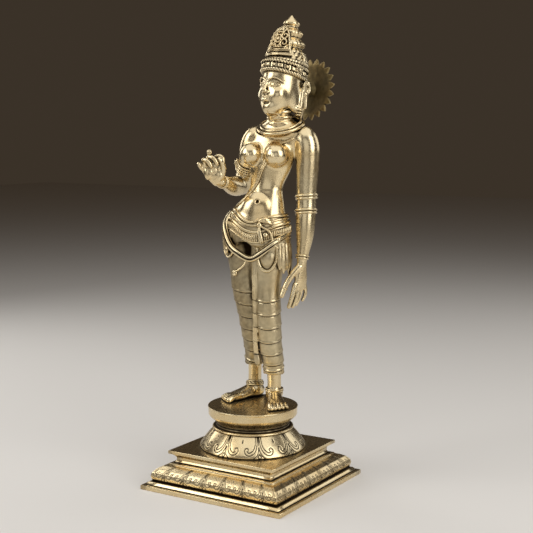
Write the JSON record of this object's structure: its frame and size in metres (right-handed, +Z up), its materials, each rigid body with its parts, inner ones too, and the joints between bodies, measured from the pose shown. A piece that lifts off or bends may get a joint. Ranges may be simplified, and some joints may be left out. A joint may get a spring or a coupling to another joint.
{
  "type": "standing goddess figure on a plinth",
  "caption": "Cast brass standing goddess with a tall crown and wheel halo, one hand raised to hold a bud and one arm hanging, on a round lotus pedestal and a square moulded plinth.",
  "frame": {"origin": "middle of the plinth's underside, on the surface it stands on", "axes": "+Z up through the pedestal's middle, -Y toward the plinth's front, which the figure faces, +X toward the figure's left"},
  "size_m": [0.212, 0.212, 0.6117],
  "materials": {
    "stand_brass": "polished antique brass, dark patina in the chased lines",
    "figure_brass": "polished antique brass, dark patina in the grooves",
    "halo_brass": "dull darkened brass"
  },
  "bodies": {
    "root": {"plinth": "stand_brass", "lotus_pedestal": "stand_brass", "figure": "figure_brass", "halo_wheel": "halo_brass"}
  },
  "joints": []
}
